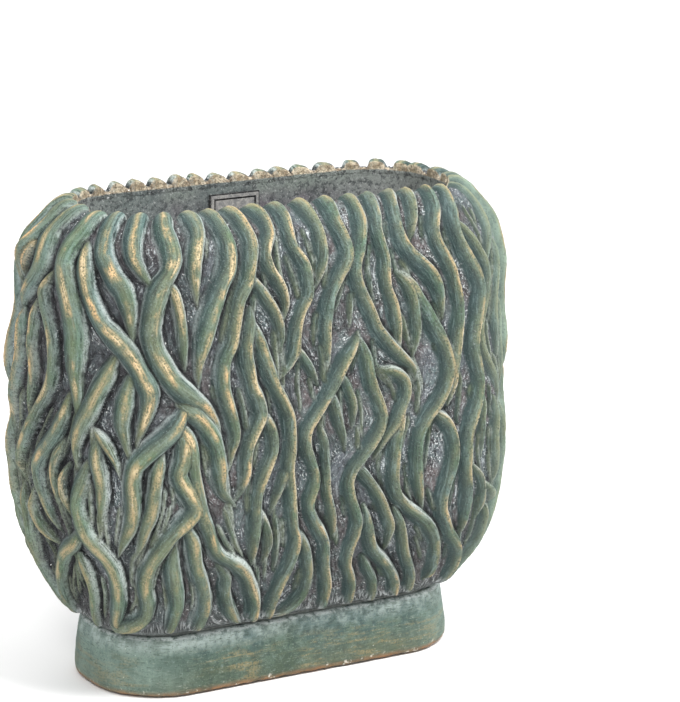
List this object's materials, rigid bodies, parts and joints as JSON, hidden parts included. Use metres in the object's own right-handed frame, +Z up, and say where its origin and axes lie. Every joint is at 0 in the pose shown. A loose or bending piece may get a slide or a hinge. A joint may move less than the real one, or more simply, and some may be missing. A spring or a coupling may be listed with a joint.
{
  "type": "flower pot",
  "caption": "Oval barrel-sided cast planter on a low rounded plinth, wrapped in wavy tendril strands that curl over the mouth, with a bung in its drain hole.",
  "frame": {"origin": "middle of the footprint, on the surface that the pads stand on", "axes": "+Z up, +X along the long side, the front faces -Y"},
  "size_m": [0.3484, 0.1882, 0.3307],
  "materials": {
    "cast_core": "matt cast stone with a dark wash",
    "patina_strands": "grey-green patina with bronze dry-brushed crests",
    "plinth_stone": "grey-green patina, worn pale and rusty at its edges",
    "mortar": "rough pale mortar",
    "plate": "dark washed blank tile",
    "bung_rubber": "matt black rubber",
    "pad_rubber": "matt dark rubber"
  },
  "bodies": {
    "pot": {"body_shell": "cast_core", "strands_front": "patina_strands", "strands_back": "patina_strands", "strands_left_end": "patina_strands", "strands_right_end": "patina_strands", "plinth": "plinth_stone", "mortar_bed": "mortar", "name_plate": "plate", "pad_front_left": "pad_rubber", "pad_front_right": "pad_rubber", "pad_back_left": "pad_rubber", "pad_back_right": "pad_rubber"},
    "bung": {"drain_bung": "bung_rubber"}
  },
  "joints": [
    {"name": "bung_pull", "type": "slide", "parent": "pot", "child": "bung", "axis": [0, 0, 1], "range_m": [0, 0.3]}
  ]
}
